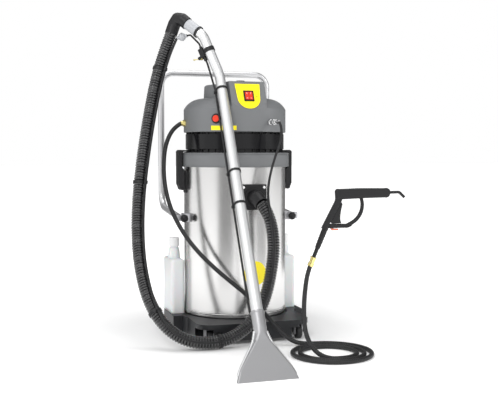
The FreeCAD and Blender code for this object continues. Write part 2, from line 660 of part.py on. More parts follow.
def wand_nozzle():
    """Floor tool with its suction mouth, cut off level with the floor."""
    skin = nozzle_form(0)
    hollow = nozzle_form(1.6)
    outer = WAND_R + 2.2
    socket = Part.makeCylinder(outer, NOZZLE_TOP - 150, V(0, 0, 150))
    ring = Part.makeCylinder(outer + 1.4, 6, V(0, 0, NOZZLE_TOP - 6))
    bore = Part.makeCylinder(WAND_R, NOZZLE_TOP - 168, V(0, 0, 169))
    throat = Part.makeCylinder(WAND_R - WAND_WALL, 30, V(0, 0, 145))
    tool = placed(fuse([skin, socket, ring]).cut(hollow).cut(bore).cut(throat), WAND_AT)
    return tool.common(box((-400, 200), (-800, -400), (0, 300)))


def wand_collar():
    """Light-grey grip sleeve round the end of the tube."""
    start = WAND_NECK + WAND_OUT * 26
    sleeve = cylinder(WAND_R + 1.8, start, WAND_END - WAND_OUT * 1.0)
    return sleeve.cut(cylinder(WAND_R, start - WAND_OUT * 5, WAND_END + WAND_OUT * 5))


HOSE_END = V(-213, 30, 1002)
HOSE_LEAD = V(28, -3, 76).normalize()
ELBOW_STEPS = [WAND_END - WAND_OUT * 0.8, V(-182, -4, 1046), V(-194, 14, 1050), V(-202, 29, 1034), HOSE_END]


def jointed_bar(points, radius):
    """Round bar through the points, with a ball at each corner."""
    parts = [cylinder(radius, a, b) for a, b in zip(points, points[1:])]
    balls = [Part.makeSphere(radius, p) for p in points[1:-1]]
    return fuse(parts + balls)


def wand_elbow():
    """Black swivel elbow with the suction hose's moulded cuff."""
    start = WAND_END + WAND_OUT * 0.2
    elbow = jointed_bar([start] + ELBOW_STEPS[1:], 21)
    return elbow.cut(cylinder(60, HOSE_END, HOSE_END - HOSE_LEAD * 40)).cut(cylinder(60, start, start - WAND_OUT * 40))


VALVE_UP = (WAND_NECK - WAND_SHOULDER).normalize()
VALVE_OUT = (V(-0.6, 0.8, 0) - VALVE_UP * VALVE_UP.dot(V(-0.6, 0.8, 0))).normalize()
TUBE_AT_VALVE = WAND_SHOULDER + VALVE_UP * 92
VALVE_AT = frame_at(TUBE_AT_VALVE + VALVE_OUT * 27, VALVE_OUT, VALVE_UP.cross(VALVE_OUT))
LEVER_PIVOT = V(17, 0, -8)


def wand_valve():
    """Black valve body behind the tube, with its saddle, hose tails and the lever's ears."""
    body = soft_box((-9, 10), (-9, 9), (-12, 20), 2)
    tails = Part.makeCylinder(5, 14, V(0, 0, 12)).fuse(Part.makeCylinder(6, 22, V(0, 0, -24)))
    parts = [body, tails]
    for side in (-1, 1):
        parts.append(box((6, 21), sorted((side * 5.6, side * 8.6)), (-12, -3)))
    parts.append(Part.makeCylinder(2, 17, V(LEVER_PIVOT.x, -8.5, LEVER_PIVOT.z), Y_AXIS))
    valve = placed(fuse(parts), VALVE_AT)
    strap = cylinder(WAND_R + 2, TUBE_AT_VALVE - VALVE_UP * 7, TUBE_AT_VALVE + VALVE_UP * 7)
    tube = cylinder(WAND_R, TUBE_AT_VALVE - VALVE_UP * 40, TUBE_AT_VALVE + VALVE_UP * 40)
    return valve.fuse(strap).cut(tube).removeSplitter()


def valve_lever():
    """Brass lever on the valve's pin."""
    hub = Part.makeCylinder(5.2, 10.4, V(LEVER_PIVOT.x, -5.2, LEVER_PIVOT.z), Y_AXIS)
    arm = cylinder(1.6, LEVER_PIVOT + V(3, 0, 0), LEVER_PIVOT + V(26, 0, 9))
    tip = Part.makeSphere(3, LEVER_PIVOT + V(26, 0, 9))
    bore = Part.makeCylinder(2 + RUNNING_GAP, 20, V(LEVER_PIVOT.x, -10, LEVER_PIVOT.z), Y_AXIS)
    return placed(fuse([hub, arm, tip]).cut(bore), VALVE_AT)


def along_wand(reach, left, under):
    """Point beside the straight part of the wand."""
    return WAND_AT.multVec(V(-left, under, reach))


def wand_pipe():
    """Thin line from the filter to the valve, and from the valve down the wand to the jet."""
    tail = VALVE_AT.multVec(V(0, 0, 26))
    whip = [FILTER_OUT, FILTER_OUT + FILTER_LINE * 12, tail + VALVE_UP * 12, tail]
    foot = VALVE_AT.multVec(V(0, 0, -24))
    line = [foot, foot - VALVE_UP * 14, along_wand(990, 17, 17), along_wand(215, 17, 17), along_wand(130, 3, 23),
            along_wand(60, 0, 18.5), along_wand(46, 0, 15.5)]
    jet = cylinder(5, along_wand(46, 0, 15.5), along_wand(28, 0, 14))
    return Part.Compound([sweep(rounded_path(whip, [9, 9]), 3), sweep(rounded_path(line, [12, 30, 60, 60, 20]), 3.2)
                          .fuse(jet).removeSplitter()])


def wand_clips():
    """Black ring at the wand's bend and the three clips that hold the line to it."""
    solids = []
    for reach in (975, 660, 545):
        start = WAND_FOOT + WAND_UP * reach
        band = cylinder(WAND_R + 2.2, start, start + WAND_UP * 7)
        bridge = cylinder(5.8, along_wand(reach, 17, 17), along_wand(reach + 7, 17, 17))
        tube = cylinder(WAND_R, start - WAND_UP * 3, start + WAND_UP * 12)
        line = cylinder(3.2, along_wand(reach - 3, 17, 17), along_wand(reach + 12, 17, 17))
        solids.append(band.fuse(bridge).cut(tube).cut(line).removeSplitter())
    start = WAND_NECK + WAND_OUT * 19
    ring = cylinder(WAND_R + 3.5, start, start + WAND_OUT * 7)
    solids.append(ring.cut(cylinder(WAND_R, start - WAND_OUT * 3, start + WAND_OUT * 12)))
    return Part.Compound(solids)


# ---------------------------------------------------------------- hoses
SUCTION_ROUTE = [
    V(17, -240, 444), V(26, -260, 421), V(36, -271, 386), V(43, -273, 343), V(45, -271, 292), V(39, -270, 240),
    V(28, -271, 186), V(11, -273, 134), V(-18, -276, 88), V(-57, -281, 52), V(-108, -287, 29), V(-166, -290, 22),
    V(-223, -283, 26), V(-272, -262, 47), V(-310, -231, 85), V(-335, -190, 136), V(-348, -145, 199),
    V(-352, -98, 275), V(-349, -58, 365), V(-340, -33, 460), V(-326, -17, 557), V(-309, -4, 654),
    V(-289, 10, 751), V(-267, 24, 842), V(-241, 33, 926), HOSE_END,
]
FILTER_IN = V(-196, 14, 987)
FILTER_OUT = V(-166, -2, 994)
FILTER_LINE = (FILTER_OUT - FILTER_IN).normalize()
SOLUTION_ROUTE = [
    V(89, -200, 705), V(93, -209, 691), V(92, -213, 664), V(83, -216, 630), V(69, -219, 594), V(55, -224, 557),
    V(43, -233, 519), V(33, -249, 480), V(27, -276, 445), V(29, -295, 406), V(34, -299, 361), V(38, -299, 310),
    V(36, -297, 256), V(28, -296, 201), V(12, -298, 145), V(-16, -301, 97), V(-55, -306, 59), V(-107, -312, 34),
    V(-165, -316, 26), V(-224, -309, 30), V(-274, -289, 52), V(-306, -260, 90), V(-326, -218, 142),
    V(-335, -172, 202), V(-338, -122, 276), V(-334, -82, 365), V(-325, -57, 459), V(-311, -41, 556),
    V(-294, -28, 653), V(-274, -14, 749), V(-251, 1, 840), V(-230, 9, 907), V(-213, 12, 952), FILTER_IN,
]
GUN_HOSE_START = V(-188, 0, 703)
GUN_DROP_ROUTE = [
    GUN_HOSE_START, V(-209, -3, 691), V(-233, -14, 660), V(-251, -32, 615), V(-257, -42, 555), V(-254, -50, 493),
    V(-242, -66, 431), V(-220, -88, 374), V(-193, -118, 323), V(-158, -153, 275), V(-115, -182, 230),
    V(-70, -204, 190), V(-28, -220, 154), V(6, -236, 117), V(32, -258, 83), V(53, -280, 54), V(74, -299, 30),
    V(97, -315, 13), V(125, -326, 7.4), V(157, -333, 7.2),
]
COIL_CENTRE = V(156.8, -465.2, 0)
COIL_OUTER = 135.5
COIL_INNER = 73.0
GUN_RISE_ROUTE = [
    V(131, -535, 7.2), V(112, -522, 11), V(98, -506, 20), V(89, -488, 34), V(83, -467, 54), V(81, -449, 82),
    V(82, -438, 121), V(85, -433, 165), V(90, -431, 208), V(96, -431, 244),
]


def gun_hose_coil():
    """Outer shape of the flat turns of hose on the floor."""
    ring = lathe([(COIL_INNER, 0.2), (COIL_OUTER, 0.2), (COIL_OUTER, 2 * GUN_HOSE_R), (COIL_INNER, 2 * GUN_HOSE_R)],
                 COIL_CENTRE)
    return rounded(ring, 4, anywhere)


def hose_clips():
    """Straps that tie the solution hose to the suction hose."""
    solids = []
    for index in (10, 14, 19, 23):
        here, there = SUCTION_ROUTE[index], SUCTION_ROUTE[index + 1]
        middle = (here + there) / 2
        along = (there - here).normalize()
        thin_a, thin_b = SOLUTION_ROUTE[index + 7], SOLUTION_ROUTE[index + 8]
        offset = (thin_a + thin_b) / 2 - middle
        offset = offset - along * offset.dot(along)
        outer = cylinder(SUCTION_R + 2, middle - along * 5, middle + along * 5)
        tab = cylinder(SOLUTION_R + 2.5, middle + offset - along * 5, middle + offset + along * 5)
        hole = cylinder(SUCTION_R + 0.2, middle - along * 9, middle + along * 9)
        thin = cylinder(SOLUTION_R + 0.2, middle + offset - along * 9, middle + offset + along * 9)
        solids.append(outer.fuse(tab).cut(hole).cut(thin).removeSplitter())
    return Part.Compound(solids)


def inline_filter():
    """Ball-shaped strainer in the solution line."""
    middle = (FILTER_IN + FILTER_OUT) / 2
    ball = Part.makeSphere(13, middle)
    ends = cylinder(5.5, FILTER_IN, FILTER_OUT)
    band = cylinder(14, middle - FILTER_LINE * 2, middle + FILTER_LINE * 2)
    return fuse([ball, ends, band])


# ---------------------------------------------------------------- spray gun
GUN_TURN = math.radians(18)
GUN_SIDE = V(math.cos(GUN_TURN), -math.sin(GUN_TURN), 0)
GUN_AT = frame_at(V(186.9, -460.3, 466), GUN_SIDE, Z_AXIS)
TRIGGER_PIVOT = V(-1, -7, 0)
TAIL_START = V(-42.7, -84.3, 0)
TAIL_LINE = V(-0.365, -0.931, 0).normalize()


def gun_body():
    """Barrel housing, channel-shaped grip and finger guard."""
    barrel = plate([(-13, 2), (-14.5, 24), (-11, 31, -2, 32.5), (60, 35), (134, 35), (146, 33, 149, 22),
                    (146, 11, 134, 7.6), (72, 5.6), (8, 2)], 30)
    barrel = rounded(barrel, 6, lambda m, a: abs(m.z) > 14.9)
    grip = plate([(-12, 8), (-15, -5), (-54.7, -84.3), (-43, -92), (-34, -90), (-37, -84), (5, -4), (9, 8)], 26)
    grip = rounded(grip, 4, lambda m, a: abs(m.z) > 12.9)
    guard = plate([(70, 8), (69.5, 3), (66, -44, 38.4, -73.6), (27, -82, 14.6, -83.1), (-44, -85), (-38, -71.4),
                   (14, -71.6), (21, -71, 27, -67), (56, -40, 58, 8)], 12)
    guard = rounded(guard, 3, lambda m, a: abs(m.z) > 5.9 and m.x > 30)
    body = fuse([barrel, grip, guard])
    channel = plate([(-11, 0), (-51, -80), (-37, -80), (-30, -71.2), (12, -71.2), (12, 0), (4, 4), (-6, 4)], 15)
    slot = plate([(-30, -70), (-30, -90), (-8, -90), (-8, -70)], 4.4)
    pin = Part.makeCylinder(2.5, 22, V(TRIGGER_PIVOT.x, TRIGGER_PIVOT.y, -11))
    body = body.cut(channel).cut(slot).fuse(pin)
    tail_socket = cylinder(9, TAIL_START - TAIL_LINE * 3, TAIL_START + TAIL_LINE * 7)
    muzzle = cylinder(4.2, V(140, 22, 0), V(152, 22, 0))
    return placed(body.cut(tail_socket).cut(muzzle).removeSplitter(), GUN_AT)


def gun_trigger():
    """Trigger blade that swings into the grip's channel."""
    blade = plate([(-6, -8), (-4, -1, 3, -3), (8, -13), (4, -30, 1.4, -54), (2.4, -62, 5, -69.8), (-24, -70.4),
                   (-29, -66)], 14)
    bore = Part.makeCylinder(2.5 + RUNNING_GAP, 30, V(TRIGGER_PIVOT.x, TRIGGER_PIVOT.y, -15))
    return placed(blade.cut(bore), GUN_AT)


def gun_lock():
    """Sliding trigger lock under the guard."""
    pad = soft_box((-25, -4), (-91, -86.2), (-5, 5), 1.2)
    stem = box((-28, -18), (-87, -74), (-2, 2))
    return placed(pad.fuse(stem).removeSplitter(), GUN_AT)


def gun_nozzle():
    """Metal lance with its bent tip."""
    tube = bent_tube([V(140, 22, 0), V(177, 23.6, 0), V(193, 8, 0)], [10], 4.2, 2)
    return placed(tube, GUN_AT)


def gun_tail():
    """Rubber sleeve and stub where the hose's coupling joins the grip."""
    sleeve = Part.makeCone(9, 7.6, 68, TAIL_START - TAIL_LINE * 3, TAIL_LINE)
    stub = cylinder(6, TAIL_START + TAIL_LINE * 65, TAIL_START + TAIL_LINE * 94)
    rings = []
    for index in range(5):
        at = TAIL_START + TAIL_LINE * (12 + 10 * index)
        rings.append(cylinder(9.2 - 0.2 * index, at, at + TAIL_LINE * 4))
    return placed(fuse([sleeve, stub] + rings), GUN_AT)


def gun_coupling():
    """Brass body between two black collars."""
    at = lambda reach: TAIL_START + TAIL_LINE * reach
    parts = [cylinder(10, at(94), at(98)), cylinder(8, at(98), at(114)), cylinder(9.5, at(114), at(123))]
    return placed(fuse(parts), GUN_AT)


# ---------------------------------------------------------------- sub-parts, one file each
def main():
    coupling_end = GUN_AT.multVec(TAIL_START + TAIL_LINE * 123)
    nodes = {
        "base_tray": base_tray(),
        "rear_axle": rear_axle(),
        "tank_shell": tank_shell(),
        "tank_collar": tank_collar(),
        "latch_brackets": latch_brackets(),
        "latch_right": latch(),
        "latch_left": mirrored(latch()),
        "inlet_plate": inlet_plate(),
        "inlet_screws": inlet_screws(),
        "inlet_elbow": inlet_elbow(),
        "motor_ring": motor_ring(),
        "hood": hood(),
        "switch_panel": switch_panel(),
        "switch_frame": switch_frame(),
        "rocker_vacuum": rocker(-1),
        "rocker_pump": rocker(1),
        "button_bezel": button_bezel(),
        "pump_button": pump_button(),
        "vacuum_motor": vacuum_motor(),
        "solution_pump": solution_pump(),
        "float_cage": float_cage(),
        "float_ball": float_ball(),
        "quick_coupling": quick_coupling(),
        "gun_hose_fitting": gun_hose_fitting(),
        "power_cord_gland": power_cord_gland(),
        "push_handle": push_handle(),
        "handle_brackets": handle_brackets(),
        "handle_knob_right": handle_knob(),
        "handle_knob_left": mirrored(handle_knob()),
        "can_right": can(),
        "can_left": mirrored(can()),
        "can_cap_right": can_cap(),
        "can_cap_left": mirrored(can_cap()),
        "wand_tube": wand_tube(),
        "wand_nozzle": wand_nozzle(),
        "wand_collar": wand_collar(),
        "wand_elbow": wand_elbow(),
        "wand_valve": wand_valve(),
        "valve_lever": valve_lever(),
        "wand_pipe": wand_pipe(),
        "wand_clips": wand_clips(),
        "suction_hose": cord_tube("suction_hose", SUCTION_ROUTE, SUCTION_R),
        "solution_hose": cord_tube("solution_hose", SOLUTION_ROUTE, SOLUTION_R),
        "gun_hose_drop": cord_tube("gun_hose_drop", GUN_DROP_ROUTE, GUN_HOSE_R),
        "gun_hose_coil": gun_hose_coil(),
        "gun_hose_rise": cord_tube("gun_hose_rise", GUN_RISE_ROUTE + [coupling_end], GUN_HOSE_R),
        "hose_clips": hose_clips(),
        "inline_filter": inline_filter(),
        "gun_coupling": gun_coupling(),
        "gun_body": gun_body(),
        "gun_trigger": gun_trigger(),
        "gun_lock": gun_lock(),
        "gun_nozzle": gun_nozzle(),
        "gun_tail": gun_tail(),
    }
    for name, side in SIDES.items():
        nodes[f"rear_wheel_{name}"] = rear_wheel(side)
        nodes[f"castor_fork_{name}"] = castor_fork(side)
        nodes[f"castor_wheel_{name}"] = castor_wheel(side)
    os.makedirs("parts", exist_ok=True)
    for name, shape in nodes.items():
        shape.exportStep(f"parts/{name}.step")
        solids = len(shape.Solids)
        print(f"{name:20s} solids {solids} valid {shape.isValid()} volume {shape.Volume / 1000:.1f} cm3")
    print(len(nodes), "nodes")


main()
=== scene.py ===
"""Looks of the carpet cleaner machine: materials, corrugated and braided hoses, trim, studio and camera."""
import json
import math

import bmesh
import bpy
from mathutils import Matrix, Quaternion, Vector


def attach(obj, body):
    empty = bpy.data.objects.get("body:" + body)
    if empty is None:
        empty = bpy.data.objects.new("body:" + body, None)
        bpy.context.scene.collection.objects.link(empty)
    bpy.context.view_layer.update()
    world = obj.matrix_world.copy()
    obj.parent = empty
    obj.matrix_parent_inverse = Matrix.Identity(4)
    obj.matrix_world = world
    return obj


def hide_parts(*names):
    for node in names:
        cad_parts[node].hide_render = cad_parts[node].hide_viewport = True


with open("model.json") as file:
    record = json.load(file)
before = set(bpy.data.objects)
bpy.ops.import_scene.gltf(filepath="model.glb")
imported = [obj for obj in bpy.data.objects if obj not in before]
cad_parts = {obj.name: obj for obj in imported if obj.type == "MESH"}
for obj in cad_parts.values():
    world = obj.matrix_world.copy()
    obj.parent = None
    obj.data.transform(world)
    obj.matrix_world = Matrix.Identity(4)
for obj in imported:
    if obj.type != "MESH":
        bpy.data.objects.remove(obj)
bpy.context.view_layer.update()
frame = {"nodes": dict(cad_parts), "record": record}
NODES = frame["nodes"]
MM = 0.001


def mm(x, y, z):
    return Vector((x, y, z)) * MM


def outward(turn):
    """Level direction at a turn in radians from the front of the machine."""
    return Vector((math.sin(turn), -math.cos(turn), 0))


# ------------------------------------------------------------------ materials
EDGE_SAMPLES = 4
GRAIN_DETAIL = 3


def link(tree, a, out, b, into):
    tree.links.new(a.outputs[out], b.inputs[into])


def paint(name, colour, rough, metal=0.0, coat=0.0, edge=0.0006, **extra):
    """Principled finish whose edges catch the light; extra holds any other socket values."""
    m = bpy.data.materials.new(name)
    m.use_nodes = True
    tree = m.node_tree
    shader = tree.nodes["Principled BSDF"]
    shader.inputs["Base Color"].default_value = (*colour, 1)
    shader.inputs["Roughness"].default_value = rough
    shader.inputs["Metallic"].default_value = metal
    shader.inputs["Coat Weight"].default_value = coat
    for socket, value in extra.items():
        shader.inputs[socket.replace("_", " ")].default_value = value
    if edge:
        soft = tree.nodes.new("ShaderNodeBevel")
        soft.samples = EDGE_SAMPLES
        soft.inputs["Radius"].default_value = edge
        link(tree, soft, "Normal", shader, "Normal")
    return m


def grain(m, scale, strength, distance):
    """Adds fine moulded texture as a bump in object space."""
    tree = m.node_tree
    shader = tree.nodes["Principled BSDF"]
    place = tree.nodes.new("ShaderNodeTexCoord")
    noise = tree.nodes.new("ShaderNodeTexNoise")
    noise.inputs["Scale"].default_value = scale
    noise.inputs["Detail"].default_value = GRAIN_DETAIL
    bump = tree.nodes.new("ShaderNodeBump")
    bump.inputs["Strength"].default_value = strength
    bump.inputs["Distance"].default_value = distance
    link(tree, place, "Object", noise, "Vector")
    link(tree, noise, "Fac", bump, "Height")
    soft = tree.nodes.get("Bevel")
    if soft:
        link(tree, soft, "Normal", bump, "Normal")
    link(tree, bump, "Normal", shader, "Normal")
    return m


LOOKS = {
    "grey_plastic": grain(paint("grey_plastic", (0.145, 0.15, 0.155), 0.45, edge=0.002), 900, 0.1, 0.0003),
    "black_gloss": paint("black_gloss", (0.004, 0.004, 0.005), 0.17, edge=0.001, Specular_IOR_Level=0.32),
    "black_plastic": grain(paint("black_plastic", (0.009, 0.009, 0.01), 0.45, edge=0.001,
                                 Specular_IOR_Level=0.35), 800, 0.1, 0.0003),
    "dark_base": grain(paint("dark_base", (0.013, 0.014, 0.016), 0.42, edge=0.002,
                             Specular_IOR_Level=0.45), 700, 0.12, 0.0004),
    "steel": paint("steel", (0.68, 0.675, 0.67), 0.24, 1.0, edge=0.001, Anisotropic=0.3),
    "chrome": paint("chrome", (0.8, 0.8, 0.8), 0.08, 1.0, edge=0.0004),
    "zinc": paint("zinc", (0.55, 0.55, 0.57), 0.45, 0.75, edge=0.0006),
    "handle_paint": paint("handle_paint", (0.66, 0.66, 0.67), 0.34, 0.8, edge=0.0),
    "rubber_black": paint("rubber_black", (0.006, 0.006, 0.007), 0.4, edge=0.0006, Specular_IOR_Level=0.4),
    "tyre": paint("tyre", (0.012, 0.012, 0.013), 0.6, edge=0.0012),
    "yellow_panel": paint("yellow_panel", (1.0, 0.83, 0.004), 0.35, edge=0.0008),
    "orange": paint("orange", (0.72, 0.035, 0.008), 0.3, edge=0.0008),
    "motor": paint("motor", (0.25, 0.25, 0.27), 0.4, 0.8),
    "float_white": paint("float_white", (0.8, 0.8, 0.78), 0.4),
    "brass": paint("brass", (0.8, 0.68, 0.28), 0.25, 0.9, edge=0.0005),
    "can_white": paint("can_white", (0.83, 0.85, 0.86), 0.34, edge=0.001, Subsurface_Weight=0.25,
                       Subsurface_Scale=0.02, Transmission_Weight=0.08),
    "cap_white": paint("cap_white", (0.85, 0.85, 0.85), 0.4, edge=0.0006),
    "aluminium": paint("aluminium", (0.78, 0.785, 0.79), 0.36, 0.9, edge=0.0),
    "collar_grey": paint("collar_grey", (0.42, 0.43, 0.45), 0.35, edge=0.0006),
    "hose_black": paint("hose_black", (0.007, 0.007, 0.008), 0.24, coat=1.0, edge=0.0, Coat_Roughness=0.12),
    "braid_black": paint("braid_black", (0.010, 0.010, 0.011), 0.42, edge=0.0),
    "lock_red": paint("lock_red", (0.72, 0.2, 0.13), 0.4, edge=0.0006),
    "nozzle_grey": paint("nozzle_grey", (0.42, 0.42, 0.43), 0.36, 0.85, edge=0.0008),
}
SLOT_OF = {s["node"]: s["material_slot"] for s in frame["record"]["subparts"]}


def wear(obj, look):
    obj.data.materials.clear()
    obj.data.materials.append(LOOKS[look])


def smooth_by_angle(mesh, degrees):
    for face in mesh.polygons:
        face.use_smooth = True
    mesh.set_sharp_from_angle(angle=math.radians(degrees))


def new_piece(name, mesh, look, body, smooth=35):
    """Adds a mesh as a piece that rides on a body and takes one of the record's finishes."""
    obj = bpy.data.objects.new(name, mesh)
    bpy.context.scene.collection.objects.link(obj)
    wear(obj, look)
    smooth_by_angle(mesh, smooth)
    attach(obj, body)
    return obj


def face_outward(mesh):
    work = bmesh.new()
    work.from_mesh(mesh)
    bmesh.ops.recalc_face_normals(work, faces=work.faces)
    work.to_mesh(mesh)
    work.free()


def built(name, verts, faces, look, body, smooth=35):
    """Adds a closed piece from its corner points and faces."""
    mesh = bpy.data.meshes.new(name)
    mesh.from_pydata(verts, [], faces)
    face_outward(mesh)
    return new_piece(name, mesh, look, body, smooth)


for node, obj in NODES.items():
    wear(obj, SLOT_OF[node])
wear(NODES["inline_filter"], "collar_grey")


# ------------------------------------------------------------------ hoses
def frames(points):
    """Each point of a line with two directions across it, which don't twist along the way."""
    across = None
    for k, p in enumerate(points):
        ahead = (points[min(k + 1, len(points) - 1)] - points[max(k - 1, 0)]).normalized()
        if across is None:
            across = ahead.orthogonal().normalized()
        across = (across - ahead * across.dot(ahead)).normalized()
        yield p, across, ahead.cross(across)


def circle(p, across, other, radius, sides):
    turns = [2 * math.pi * i / sides for i in range(sides)]
    return [p + (across * math.cos(a) + other * math.sin(a)) * radius for a in turns]


def spline_points(name, route, resolution):
    """Points of an open spline whose control points are the route, read from the curve itself."""
    curve = bpy.data.curves.new(name, "CURVE")
    curve.dimensions = "3D"
    spline = curve.splines.new("NURBS")
    spline.points.add(len(route) - 1)
    for control, p in zip(spline.points, route):
        control.co = (*p, 1)
    spline.order_u = 3
    spline.use_endpoint_u = True
    curve.resolution_u = resolution
    obj = bpy.data.objects.new(name, curve)
    bpy.context.scene.collection.objects.link(obj)
    mesh = bpy.data.meshes.new_from_object(obj)
    points = [v.co.copy() for v in mesh.vertices]
    bpy.data.meshes.remove(mesh)
    bpy.data.objects.remove(obj)
    bpy.data.curves.remove(curve)
    return points


def tube(name, points, radius_at, look, body, sides):
    """Mesh tube round a line of points, whose radius depends on the distance along it."""
    verts, faces, gone = [], [], []
    far = 0.0
    for k, (p, across, other) in enumerate(frames(points)):
        far += (p - points[max(k - 1, 0)]).length
        gone.append(far)
        verts += circle(p, across, other, radius_at(far), sides)
    rings = len(points)
    for k in range(rings - 1):
        for i in range(sides):
            j = (i + 1) % sides
            faces.append((k * sides + i, k * sides + j, (k + 1) * sides + j, (k + 1) * sides + i))
    faces.append(tuple(reversed(range(sides))))
    faces.append(tuple(range((rings - 1) * sides, rings * sides)))
    mesh = bpy.data.meshes.new(name)
    mesh.from_pydata(verts, [], faces)
    uv = mesh.uv_layers.new(name="along")
    for face in mesh.polygons[:-2]:
        low = face.index % sides
        for loop in face.loop_indices:
            ring, i = divmod(mesh.loops[loop].vertex_index, sides)
            uv.data[loop].uv = ((i if i >= low else i + sides) / sides, gone[ring])
    return new_piece(name, mesh, look, body, smooth=75)


SUCTION_ROUTE = [
    mm(17, -240, 444), mm(26, -260, 421), mm(36, -271, 386), mm(43, -273, 343), mm(45, -271, 292),
    mm(39, -270, 240), mm(28, -271, 186), mm(11, -273, 134), mm(-18, -276, 88), mm(-57, -281, 52),
    mm(-108, -287, 29), mm(-166, -290, 22), mm(-223, -283, 26), mm(-272, -262, 47), mm(-310, -231, 85),
    mm(-335, -190, 136), mm(-348, -145, 199), mm(-352, -98, 275), mm(-349, -58, 365), mm(-340, -33, 460),
    mm(-326, -17, 557), mm(-309, -4, 654), mm(-289, 10, 751), mm(-267, 24, 842), mm(-241, 33, 926),
    mm(-213, 30, 1002),
]
SOLUTION_ROUTE = [
    mm(89, -200, 705), mm(93, -209, 691), mm(92, -213, 664), mm(83, -216, 630), mm(69, -219, 594),
    mm(55, -224, 557), mm(43, -233, 519), mm(33, -249, 480), mm(27, -276, 445), mm(29, -295, 406),
    mm(34, -299, 361), mm(38, -299, 310), mm(36, -297, 256), mm(28, -296, 201), mm(12, -298, 145),
    mm(-16, -301, 97), mm(-55, -306, 59), mm(-107, -312, 34), mm(-165, -316, 26), mm(-224, -309, 30),
    mm(-274, -289, 52), mm(-306, -260, 90), mm(-326, -218, 142), mm(-335, -172, 202), mm(-338, -122, 276),
    mm(-334, -82, 365), mm(-325, -57, 459), mm(-311, -41, 556), mm(-294, -28, 653), mm(-274, -14, 749),
    mm(-251, 1, 840), mm(-230, 9, 907), mm(-213, 12, 952), mm(-196, 14, 987),
]
GUN_DROP = [
    mm(-188, 0, 703), mm(-209, -3, 691), mm(-233, -14, 660), mm(-251, -32, 615), mm(-257, -42, 555),
    mm(-254, -50, 493), mm(-242, -66, 431), mm(-220, -88, 374), mm(-193, -118, 323), mm(-158, -153, 275),
    mm(-115, -182, 230), mm(-70, -204, 190), mm(-28, -220, 154), mm(6, -236, 117), mm(32, -258, 83),
    mm(53, -280, 54), mm(74, -299, 30), mm(97, -315, 13), mm(125, -326, 7.4), mm(157, -333, 7.2),
]
GUN_RISE = [
    mm(131, -535, 7.2), mm(112, -522, 11), mm(98, -506, 20), mm(89, -488, 34), mm(83, -467, 54),
    mm(81, -449, 82), mm(82, -438, 121), mm(85, -433, 165), mm(90, -431, 208), mm(96, -431, 244),
    mm(103.6, -433.2, 267.2),
]
COIL_CENTRE = mm(156.8, -465.2, 7.2)
COIL_FROM = 90.0           # degrees about the coil's centre; falling is clockwise from above
COIL_TO = -830.3
COIL_WIDE = 0.1322
COIL_TIGHT = 0.0744
COIL_STEPS = 62
coil = []
for k in range(1, COIL_STEPS):
    share = k / COIL_STEPS
    turn = math.radians(COIL_FROM + (COIL_TO - COIL_FROM) * share)
    reach = COIL_WIDE + (COIL_TIGHT - COIL_WIDE) * share
    coil.append(COIL_CENTRE + Vector((math.cos(turn), math.sin(turn), 0)) * reach)
GUN_ROUTE = GUN_DROP + coil + GUN_RISE

RIB_PITCH = 0.0086
RIB_DEPTH = 0.0036
RIB_FULLNESS = 1.7        # above 1 flattens the top of each rib
RIB_SHARPNESS = 1.5
SUCTION_R = 0.020
SOLUTION_R = 0.004
GUN_R = 0.007
SUCTION_SIDES = 28
SOLUTION_SIDES = 14
GUN_SIDES = 20
SUCTION_STEPS = 64         # points of the line between two points of the route
SOLUTION_STEPS = 12
GUN_STEPS = 8


def ribbed(far):
    """Radius of the corrugated hose at a distance along it."""
    phase = (far / RIB_PITCH) % 1.0
    hill = min(1.0, RIB_FULLNESS * math.sin(math.pi * phase) ** RIB_SHARPNESS)
    return SUCTION_R - RIB_DEPTH * (1.0 - hill)


suction_line = spline_points("suction_line", SUCTION_ROUTE, SUCTION_STEPS)
solution_line = spline_points("solution_line", SOLUTION_ROUTE, SOLUTION_STEPS)
gun_line = spline_points("gun_line", GUN_ROUTE, GUN_STEPS)

suction = tube("suction_hose_ribbed", suction_line, ribbed, "hose_black", "machine", SUCTION_SIDES)
solution = tube("solution_hose_thin", solution_line, lambda far: SOLUTION_R, "rubber_black", "machine",
                SOLUTION_SIDES)
gun_hose = tube("gun_hose_braided", gun_line, lambda far: GUN_R, "braid_black", "machine", GUN_SIDES)
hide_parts("suction_hose")
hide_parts("solution_hose")
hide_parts("gun_hose_drop", "gun_hose_coil", "gun_hose_rise")


STRANDS_AROUND = 5
STRAND_PITCH = 0.012
STRAND_DEPTH = 0.0008
STRAND_STRENGTH = 0.8
BRAID_SMOOTHEST = 0.32
BRAID_ROUGHEST = 0.6


